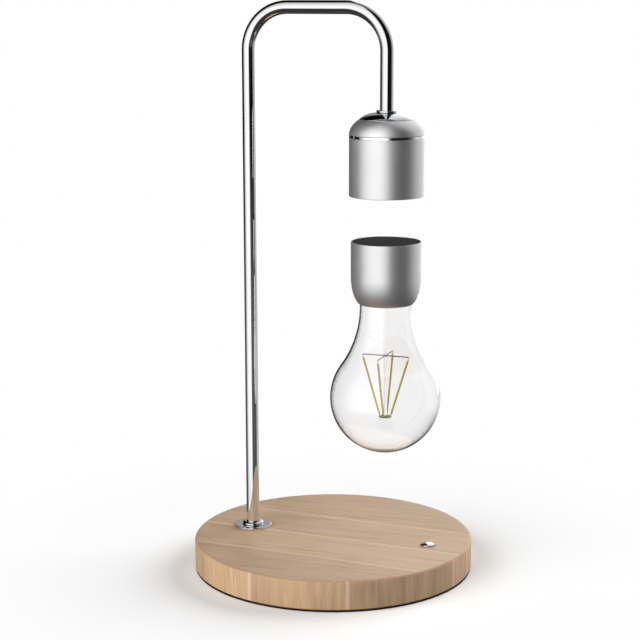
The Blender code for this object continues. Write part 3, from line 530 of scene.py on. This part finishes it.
dress(copper_wire, "transmit_coil", "electromagnet_winding", "receive_coil", "lead_wire_a",
      "lead_wire_b")
dress(soft_iron, "electromagnet_core")


# ---- Cup of the floating bulb ----
# An aluminium cup spun to a thin rim and drawn in at the bottom round the glass neck. A black
# lid lies in the rim, over the coil, the magnet and the driver board.
cup_turn_r = 13.8
cup_turn_z = 181.9
cup_turn_in = 7.0
cup_turn_down = 17.3
cup_wall = 1.2
cup_mouth = 16.1
neck_fit = 15.62
rim_line = np.array([(19.6, 200.1), (20.3, 200.1), (20.3, 202.6), (20.42, 202.7), (20.68, 202.7),
                     (20.8, 202.58)])
lid_r = 20.25
lid_low, lid_high = 200.4, 202.4

# The profile runs up through the rim and down the wall. Below the straight wall the cup draws in
# along a quarter of an ellipse, cut off at its mouth round the neck of the glass.
swing = np.linspace(0, math.acos((cup_mouth - cup_turn_r) / cup_turn_in), 48)
outer = np.stack([cup_turn_r + cup_turn_in * np.cos(swing),
                  cup_turn_z - cup_turn_down * np.sin(swing)], 1)
inner = np.stack([cup_turn_r + (cup_turn_in - cup_wall) * np.cos(swing),
                  cup_turn_z - (cup_turn_down - cup_wall) * np.sin(swing)], 1)[::-1]
inner[0] = (neck_fit, outer[-1][1])
cup = turned("bulb_cup", np.concatenate([rim_line, outer, inner]), satin, lamp_x, 192)
fitted(cup, "bulb", "satin_aluminium", "cup_shell")
lid = turned("bulb_cup_lid", rounded([(0, lid_low, 0), (lid_r, lid_low, 0.1),
                                      (lid_r, lid_high, 0.15), (0, lid_high, 0)]),
             matt_acetal, lamp_x, 192)
fitted(lid, "bulb", "satin_black", "cup_lid")
nickel_plate = grainy("nickel_plated_magnet", "#b9b4a8", "#d4d0c6", 1.2, (0.12, 0.22), 0.004, 1.0)
dress(nickel_plate, "levitation_magnet")


# ---- Bulb ----
# A blown envelope of clear glass, open at the neck, with a drawn stem that flares out to close
# it. The wall is 0.8 mm and gathers to 1.5 mm at the bottom.
# Soda-lime glass, fire-polished: clear and smooth. Shadow rays pass it, because a blown wall
# this thin casts hardly any shadow.
clear_glass, tree, place = fresh_finish("blown_clear_glass")
swirl = add(tree, "TexNoise", {"Vector": place, "Scale": 1.0 / 22.0, "Detail": 1.0})
gloss = add(tree, "MapRange", {"Value": swirl, "To Min": 0.0, "To Max": 0.015})
bump = add(tree, "Bump", {"Height": swirl, "Strength": 0.08, "Distance": 0.3 * mm})
# Towards the outline the wall is painted grey: painted shade for the dark room that the slanted
# wall bends into view, over a little real tint from the deeper glass there. The glass itself
# also takes up a little of the light that passes through it.
painted_outline_shade = add(tree, "LayerWeight", {"Blend": 0.5})
colour = fade(tree, ["#fefefe", "#fefefe", "#fdfdfd", "#f2f2f2", "#a8a8a8"], (painted_outline_shade, "Facing"))
shader = add(tree, "BsdfPrincipled", {"Base Color": colour, "Roughness": gloss,
                                      "Transmission Weight": 1.0, "IOR": 1.5, "Normal": bump})
path = add(tree, "LightPath")
clear = add(tree, "BsdfTransparent", {"Color": linear("#f4f4f4")})
shader = add(tree, "MixShader", {0: (path, "Is Shadow Ray"), 1: shader, 2: clear})
depth = add(tree, "VolumeAbsorption", {"Color": linear("#000000"), "Density": 14.0})
add(tree, "OutputMaterial", {"Surface": shader, "Volume": depth})

globe_r = 33.1
glass_wall = 0.8
gathered = 0.7
gather_angle = 0.28
shoulder_r = 62.0
neck_r = 15.4
neck_low = 163.46
neck_high = 175.96
rise = math.sqrt((globe_r + shoulder_r) ** 2 - (neck_r + shoulder_r) ** 2)
globe_z = neck_low - rise
lean = math.atan2(rise, neck_r + shoulder_r)


def globe_side(wall):
    """The outline of the globe a wall inside its outer skin, from the bottom to the neck: a
    ball of radius globe_r - wall and, touching it, a hollow arc of radius shoulder_r + wall.
    At the bottom the wall is thicker by gathered * exp(-(angle / gather_angle) ** 2)."""
    ball = np.linspace(-math.pi / 2, lean, 80)
    hollow = np.linspace(math.pi + lean, math.pi, 28)[1:]
    thick = gathered * (wall > 0) * np.exp(-((ball + math.pi / 2) / gather_angle) ** 2)
    ball = np.stack([(globe_r - wall - thick) * np.cos(ball),
                     globe_z + (globe_r - wall - thick) * np.sin(ball)], 1)
    hollow = np.stack([neck_r + shoulder_r + (shoulder_r + wall) * np.cos(hollow),
                       neck_low + (shoulder_r + wall) * np.sin(hollow)], 1)
    ball[0, 0] = 0.0
    return np.concatenate([ball, hollow, [(neck_r - wall, neck_high)]])


globe = turned("glass_envelope",
               np.concatenate([globe_side(0.0), globe_side(glass_wall)[::-1]]),
               clear_glass, lamp_x, 160)
fitted(globe, "bulb", "clear_glass", "glass_globe")

# The sides of the solid rod are painted grey: painted shade for the dark room that the rod bends
# into view.
drawn_glass, tree, place = fresh_finish("drawn_clear_glass")
painted_rod_shade = add(tree, "LayerWeight", {"Blend": 0.5})
colour = fade(tree, ["#f8f8f8", "#f4f4f4", "#868686"], (painted_rod_shade, "Facing"))
ripple = add(tree, "TexNoise", {"Vector": place, "Scale": 1.0 / 6.0})
gloss = add(tree, "MapRange", {"Value": ripple, "To Min": 0.0, "To Max": 0.02})
shader = add(tree, "BsdfPrincipled", {"Base Color": colour, "Roughness": gloss,
                                      "Transmission Weight": 1.0, "IOR": 1.5})
add(tree, "OutputMaterial", {"Surface": shader})

# The stem widens along a quarter of an ellipse to the edge of the neck.
stem_r = 1.15
stem_low = 96.9
flare_r = 15.1
flare_z = 160.26
flare_rise = 16.0
flare_wall = 1.0
swing = np.linspace(math.pi, math.pi / 2, 40)
under = np.stack([flare_r + (flare_r - stem_r) * np.cos(swing),
                  flare_z + flare_rise * np.sin(swing)], 1)
above = np.stack([flare_r + flare_r * np.cos(swing),
                  flare_z + (flare_rise + flare_wall) * np.sin(swing)], 1)[::-1]
tip = [(0.0, stem_low), (stem_r - 0.2, stem_low), (stem_r, stem_low + 0.2)]
stem = turned("glass_stem_rod", np.concatenate([tip, under, above]), drawn_glass, lamp_x, 64)
fitted(stem, "bulb", "clear_glass", "glass_stem")


# ---- Filaments ----
# Four LED filaments, each a row of chips on a strip under yellow phosphor silicone. Wire pins
# at their ends are welded to a cross of wire on the stem and to a small disc below it.
# Silicone with phosphor: dull olive yellow. The chips under it show as faint bands 1.4 mm apart.
phosphor, tree, place = fresh_finish("phosphor_silicone")
chips = add(tree, "TexWave", {"Vector": place, "Scale": 0.224, "Distortion": 0.2},
            bands_direction="Z")
colour = fade(tree, ["#8c7d2e", "#aa9843", "#c6b65b"], (chips, "Fac"))
cloud = add(tree, "TexNoise", {"Vector": place, "Scale": 1.5})
gloss = add(tree, "MapRange", {"Value": cloud, "To Min": 0.35, "To Max": 0.5})
bump = add(tree, "Bump", {"Height": cloud, "Strength": 0.2, "Distance": 0.05 * mm})
shader = add(tree, "BsdfPrincipled", {"Base Color": colour, "Roughness": gloss, "Normal": bump,
                                      "IOR": 1.43})
add(tree, "OutputMaterial", {"Surface": shader})

# Nickel-plated wire and punched sheet: their own grey, tinted yellowish with a painted reflection
# of the phosphor.
nickel_wire = grainy("drawn_nickel_wire", "#6f6848", "#8b8360", 0.5, (0.3, 0.42), 0.004, 0.5)

# The pins stick out of the coated rod at both ends, and each filament leans out from its foot.
filament_count = 4
pin_r = 0.35
pin_length = 1.5
coated_r = 0.62
rod_length = 39.47
foot_r, top_r = 3.4, 14.35
foot_z, top_z = globe_z - 11.3, globe_z + 24.5
run, climb = top_r - foot_r, top_z - foot_z
rod = rounded([(0, 0, 0), (pin_r, 0, 0.05), (pin_r, pin_length, 0), (coated_r, pin_length, 0.2),
               (coated_r, rod_length - pin_length, 0.2), (pin_r, rod_length - pin_length, 0),
               (pin_r, rod_length, 0.05), (0, rod_length, 0)])
rod[:, 1] *= math.hypot(run, climb) / rod[:, 1].max()
for count in range(filament_count):
    filament = turned(f"led_filament_{count + 1}", rod, phosphor, 0.0, 24)
    stand_up = (Matrix.Translation((lamp_x * mm, 0, foot_z * mm))
                @ Matrix.Rotation(count * 2 * math.pi / filament_count, 4, "Z")
                @ Matrix.Translation((foot_r * mm, 0, 0))
                @ Matrix.Rotation(math.atan2(run, climb), 4, "Y"))
    filament.data.transform(stand_up)
    fitted(filament, "bulb", "filament_phosphor", f"filament_{count + 1}")

# A ring round the stem with four arms of wire, whose tips bow down to the pins: span, drop and
# bow hold each point's distance from the axis, its height and the wire's slope there.
cross_z = top_z + 1.0
ring_half = 0.4
stem_fit, ring_r = 1.18, 1.55
wire_r = 0.36
span = np.array([1.4, 13.6, 14.2, 14.45])
drop = np.array([0.0, 0.0, -0.12, -0.45])
bow = np.array([0.0, 0.0, 0.5, 1.3])
cross = turned("filament_cross", rounded([(stem_fit, cross_z - ring_half, 0.05),
                                          (ring_r, cross_z - ring_half, 0.1),
                                          (ring_r, cross_z + ring_half, 0.1),
                                          (stem_fit, cross_z + ring_half, 0.05)]),
               nickel_wire, lamp_x, 48)
joined = bmesh.new()
joined.from_mesh(cross.data)
for count in range(filament_count):
    arm = tube("cross_arm", np.stack([span, cross_z + drop], 1),
               np.stack([np.cos(bow), -np.sin(bow)], 1), wire_r, 0.001, nickel_wire, 12)
    arm.data.transform(Matrix.Translation((lamp_x * mm, 0, 0))
                       @ Matrix.Rotation(count * 2 * math.pi / filament_count, 4, "Z"))
    joined.from_mesh(arm.data)
    bpy.data.objects.remove(arm)
joined.to_mesh(cross.data)
joined.free()
fitted(cross, "bulb", "soft_iron", "filament_spider")

hub_r = 3.8
hub_low, hub_high = 96.0, 96.55
hub = turned("filament_foot", rounded([(0, hub_low, 0), (hub_r, hub_low, 0.15),
                                       (hub_r, hub_high, 0.15), (0, hub_high, 0)]),
             nickel_wire, lamp_x, 64)
fitted(hub, "bulb", "soft_iron", "filament_hub")


# ---- Button ----
# A small domed cap of chromed brass in a bore of the deck. Its stem presses the switch, and a
# steel clip under the deck keeps it in.
button_x = 60.8
button_r = 4.2
button_low, button_side, button_edge = 9.9, 17.3, 18.9
button_rise = 1.0
button_stem_r = 2.2
swing = np.linspace(0, math.pi / 2, 20)
cap_top = np.stack([button_r * np.cos(swing), button_edge + button_rise * np.sin(swing)], 1)
cap_top[-1, 0] = 0.0
cap_stem = [(0.0, button_low), (button_stem_r, button_low), (button_stem_r, button_side),
            (button_r - 0.1, button_side), (button_r, button_side + 0.1)]
cap = turned("button_dome", np.concatenate([cap_stem, cap_top]), chrome, button_x, 96)
fitted(cap, "button", "chrome_plate", "button_cap")
dress(zinc_plate, "button_clip")


# ---- Studio ----
# A round floor of white paper and two large soft lamps, one at the front left and one at the
# right behind the lamp, whose two shadows are those of the photograph. Mirrors see the walls and
# the dark screens of the world, which light nothing else.
floor_r = 6.0
floor_sides = 96
floor_drop = 0.00005
angle = np.linspace(0, 2 * math.pi, floor_sides, endpoint=False)
floor_mesh = bpy.data.meshes.new("studio_floor")
floor_mesh.from_pydata(np.stack([floor_r * np.cos(angle), floor_r * np.sin(angle),
                                 0 * angle], 1).tolist(), [], [list(range(floor_sides))])
floor = bpy.data.objects.new("studio_floor", floor_mesh)
bpy.context.scene.collection.objects.link(floor)
floor.location = (0.0, 0.0, -floor_drop)

# White paper: it takes shadows near the lamp, and farther away it fades to the plain white of
# the photograph, which only the camera and the glass see. The fade is in millimetres.
fade_start, fade_end = 110.0, 270.0
paper, tree, place = fresh_finish("white_studio_paper")
fleck = add(tree, "TexNoise", {"Vector": place, "Scale": 0.5})
colour = fade(tree, ["#f8f8f8", "#fafafa"], fleck)
path = add(tree, "LightPath")
seen = add(tree, "Math", {0: (path, "Is Camera Ray"), 1: (path, "Is Transmission Ray")},
           operation="MAXIMUM")
near = add(tree, "BsdfDiffuse", {"Color": colour})
away = add(tree, "VectorMath", {0: place}, operation="LENGTH")
far = add(tree, "MapRange", {"Value": (away, "Value"), "From Min": fade_start,
                             "From Max": fade_end}, interpolation_type="SMOOTHSTEP")
far = add(tree, "Math", {0: far, 1: seen}, operation="MULTIPLY")
shader = add(tree, "MixShader", {0: far, 1: near, 2: add(tree, "Emission")})
# Mirrors look through the paper at the dark ground of the world.
in_mirror = add(tree, "Math", {0: (path, "Glossy Depth"), 1: 0.5}, operation="GREATER_THAN")
shader = add(tree, "MixShader", {0: in_mirror, 1: shader, 2: add(tree, "BsdfTransparent")})
add(tree, "OutputMaterial", {"Surface": shader})
floor_mesh.materials.append(paper)


def softbox(name, place, aim, width, height, power):
    """A lamp that faces a point, unseen in mirrors, which have the world's own walls."""
    lamp = bpy.data.objects.new(name, bpy.data.lights.new(name, "AREA"))
    lamp.data.shape = "RECTANGLE"
    lamp.data.size, lamp.data.size_y = width, height
    lamp.data.energy = power
    lamp.matrix_world = Matrix.Translation(place)
    away = Matrix.Translation(place).translation - Matrix.Translation(aim).translation
    lamp.rotation_euler = away.to_track_quat("Z", "Y").to_euler()
    lamp.visible_glossy = False
    lamp.visible_transmission = False
    bpy.context.scene.collection.objects.link(lamp)


def round_the_lamp(bearing, distance, height):
    """A place at an angle from the camera, counted to the right, round the foot of the lamp."""
    angle = camera_turn - math.pi / 2 + math.radians(bearing)
    return distance * math.cos(angle), distance * math.sin(angle), height


lamp_distance = 1.65
lamp_height = 1.02
aim = (0.0, 0.0, 0.05)
softbox("left_lamp", round_the_lamp(-52, lamp_distance, lamp_height), aim, 2.1, 1.35, 44.5)
softbox("right_lamp", round_the_lamp(120, lamp_distance, lamp_height), aim, 2.0, 1.35, 45.0)

world = bpy.data.worlds.new("studio")
bpy.context.scene.world = world
world.use_nodes = True
world.cycles.sampling_method = "NONE"
tree = world.node_tree
tree.nodes.clear()
way = add(tree, "SeparateXYZ", {0: (add(tree, "TexCoord"), "Generated")})
turn = add(tree, "Math", {0: (way, "Y"), 1: (way, "X")}, operation="ARCTAN2")
turn = add(tree, "Math", {0: turn, 1: math.pi / 2 - camera_turn + math.pi}, operation="ADD")
turn = add(tree, "Math", {0: turn, 1: 1 / (2 * math.pi)}, operation="MULTIPLY")
turn = add(tree, "Math", {0: turn}, operation="FRACT")


def walls(tree, turn, screens):
    """The brightness of the walls round the lamp. Screens holds angles from the camera, counted
    to the right as the camera sees it, each with its level, and the level changes evenly from
    one to the next."""
    stops = [((angle + 180) / 360, level) for angle, level in screens]
    return levels(tree, turn, stops, "LINEAR")


def blend(tree, height, start, end, first, second):
    """Changes softly from one look to another between a start and an end height. Each look is a
    colour, a node, or a node and the name of its output."""
    share = add(tree, "MapRange", {"Value": height, "From Min": start, "From Max": end},
                interpolation_type="SMOOTHSTEP")
    return add(tree, "Mix", {"Factor": share, 6: first, 7: second}, data_type="RGBA"), "Result"


# The walls all have the same front, bright at the left and dark at the right. They differ at
# the back, and the height is the upward part of the view's direction, from -1 to 1.
height = (way, "Z")
front = [(-180, 0.002), (-98, 0.002), (-85, 0.40), (-74, 0.70), (-55, 0.86), (-12, 1.0),
         (0, 0.66), (8, 0.14), (14, 0.004), (66, 0.002)]
low_walls = walls(tree, turn, front + [(84, 0.14), (98, 0.40), (108, 0.45), (132, 0.45),
                                       (147, 0.90), (177.6, 1.00), (178.4, 0.005)])
foot_walls = walls(tree, turn, front + [(84, 0.14), (98, 0.40), (108, 0.45), (132, 0.45),
                                        (150, 0.50), (177.6, 0.45), (178.4, 0.005)])
mid_walls = walls(tree, turn, [(-180, 0.28), (-172, 0.20), (-164, 0.01), (-98, 0.005)]
                  + front[2:] + [(84, 0.14), (98, 0.38), (108, 0.42), (132, 0.40), (147, 0.90),
                                 (177.8, 1.00), (178.4, 0.28)])
high_walls = walls(tree, turn, front + [(84, 0.28), (96, 0.60), (140, 0.62), (158, 0.90),
                                        (177, 0.90), (178, 0.005)])
mirrored = blend(tree, height, 0.13, 0.19, low_walls, mid_walls)
mirrored = blend(tree, height, -0.13, -0.20, mirrored, foot_walls)
mirrored = blend(tree, height, 0.35, 0.60, mirrored, high_walls)

# The white floor lights the foot of the dark walls. The ceiling is dim and the ground dark.
glow = add(tree, "MapRange", {"Value": height, "From Min": -0.08, "From Max": -0.20,
                              "To Min": 0.003, "To Max": 0.075})
mirrored = (add(tree, "Mix", {"Factor": 1.0, 6: mirrored, 7: glow},
                data_type="RGBA", blend_type="LIGHTEN"), "Result")
mirrored = blend(tree, height, 0.93, 0.98, mirrored, (0.12, 0.12, 0.12, 1.0))
mirrored = blend(tree, height, -0.24, -0.50, mirrored, (0.03, 0.029, 0.028, 1.0))

# Only mirrors see the walls. The camera and the glass see a plain white backdrop, and all other
# rays an almost dark room, so that the light comes from the two lamps.
# The walls are brightest low down.
path = add(tree, "LightPath")
strength = add(tree, "MapRange", {"Value": height, "From Min": 0.30, "From Max": 0.75,
                                  "To Min": 1.8, "To Max": 1.25})
in_mirror = add(tree, "Background", {"Color": mirrored, "Strength": strength})
plain = add(tree, "Background", {"Color": (1.0, 1.0, 1.0, 1.0), "Strength": 0.03})
backdrop = add(tree, "Background", {"Color": (1.0, 1.0, 1.0, 1.0), "Strength": 1.0})
shown = add(tree, "Math", {0: (path, "Is Camera Ray"), 1: (path, "Is Transmission Ray")},
            operation="MAXIMUM")

# A ray that turned back inside the near wall of the glass left it through that wall again, so
# it sees the walls too.
turned_back = add(tree, "Math", {0: (path, "Glossy Depth"), 1: 0.5}, operation="GREATER_THAN")
one_wall = add(tree, "Math", {0: (path, "Transmission Depth"), 1: 2.5}, operation="LESS_THAN")
turned_back = add(tree, "Math", {0: turned_back, 1: one_wall}, operation="MULTIPLY")
shown = add(tree, "Math", {0: shown, 1: turned_back}, operation="SUBTRACT", use_clamp=True)
mirror_ray = add(tree, "Math", {0: (path, "Is Glossy Ray"), 1: turned_back}, operation="MAXIMUM")
lit = add(tree, "MixShader", {0: mirror_ray, 1: plain, 2: in_mirror})
lit = add(tree, "MixShader", {0: shown, 1: lit, 2: backdrop})
add(tree, "OutputWorld", {"Surface": lit})

bpy.context.scene.view_settings.view_transform = "Standard"
